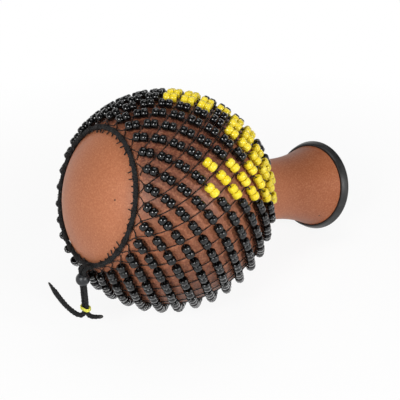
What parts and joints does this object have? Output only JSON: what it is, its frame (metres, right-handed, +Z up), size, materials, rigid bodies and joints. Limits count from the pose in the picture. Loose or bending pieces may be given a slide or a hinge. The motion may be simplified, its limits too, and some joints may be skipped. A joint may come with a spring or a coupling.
{
  "type": "shekere",
  "caption": "Gourd-shaped hollow shaker shell with a flared, rubber-edged mouth and a loose net of threaded beads that turns and rattles on its bulb, drawn in by a corded ring.",
  "frame": {"origin": "on the floor under the middle of the gourd and its net, as it lies", "axes": "+X along the gourd from base to mouth, as seen from above; +Z up; the gourd's axis dips towards the mouth"},
  "size_m": [0.4087, 0.2394, 0.2398],
  "materials": {
    "shell": "satin copper-brown",
    "rubber": "matte black",
    "black_bead": "gloss black",
    "yellow_bead": "gloss yellow",
    "thread": "waxed black thread",
    "cord": "black braided cord",
    "ball": "gloss black",
    "keeper": "satin yellow-green"
  },
  "bodies": {
    "gourd": {"gourd_shell": "shell", "mouth_trim": "rubber"},
    "net": {"base_cord": "cord", "neck_cord": "cord", "base_lead_threads": "thread", "neck_lead_threads": "thread", "net_threads": "thread", "black_beads_row_01": "black_bead", "black_beads_row_02": "black_bead", "black_beads_row_03": "black_bead", "black_beads_row_04": "black_bead", "black_beads_row_05": "black_bead", "black_beads_row_06": "black_bead", "black_beads_row_07": "black_bead", "black_beads_row_08": "black_bead", "black_beads_row_09": "black_bead", "black_beads_row_10": "black_bead", "black_beads_row_11": "black_bead", "black_beads_row_12": "black_bead", "black_beads_row_13": "black_bead", "yellow_beads_row_05": "yellow_bead", "yellow_beads_row_06": "yellow_bead", "yellow_beads_row_07": "yellow_bead", "yellow_beads_row_08": "yellow_bead", "yellow_beads_row_09": "yellow_bead", "yellow_beads_row_10": "yellow_bead", "yellow_beads_row_11": "yellow_bead", "yellow_beads_row_12": "yellow_bead", "yellow_beads_row_13": "yellow_bead"},
    "drawstring": {"drawstring_end_long": "cord", "drawstring_end_short": "cord"},
    "stopper": {"drawstring_stopper": "ball"},
    "keeper": {"drawstring_keeper": "keeper"}
  },
  "joints": [
    {"name": "net_turn", "type": "hinge", "parent": "gourd", "child": "net", "pos_m": [-0.07006, 0.00008, 0.12006], "axis": [0.9263, -0.0698, -0.3702], "continuous": true},
    {"name": "drawstring_swing", "type": "hinge", "parent": "net", "child": "drawstring", "pos_m": [-0.17779, -0.02174, 0.09517], "axis": [-0.0918, 0.9113, -0.4013], "range_deg": [0, 60]},
    {"name": "stopper_slide", "type": "slide", "parent": "drawstring", "child": "stopper", "axis": [0, 0, -1], "range_m": [0, 0.014]},
    {"name": "keeper_slide", "type": "slide", "parent": "drawstring", "child": "keeper", "axis": [0, 0, 1], "range_m": [0, 0.008]}
  ]
}
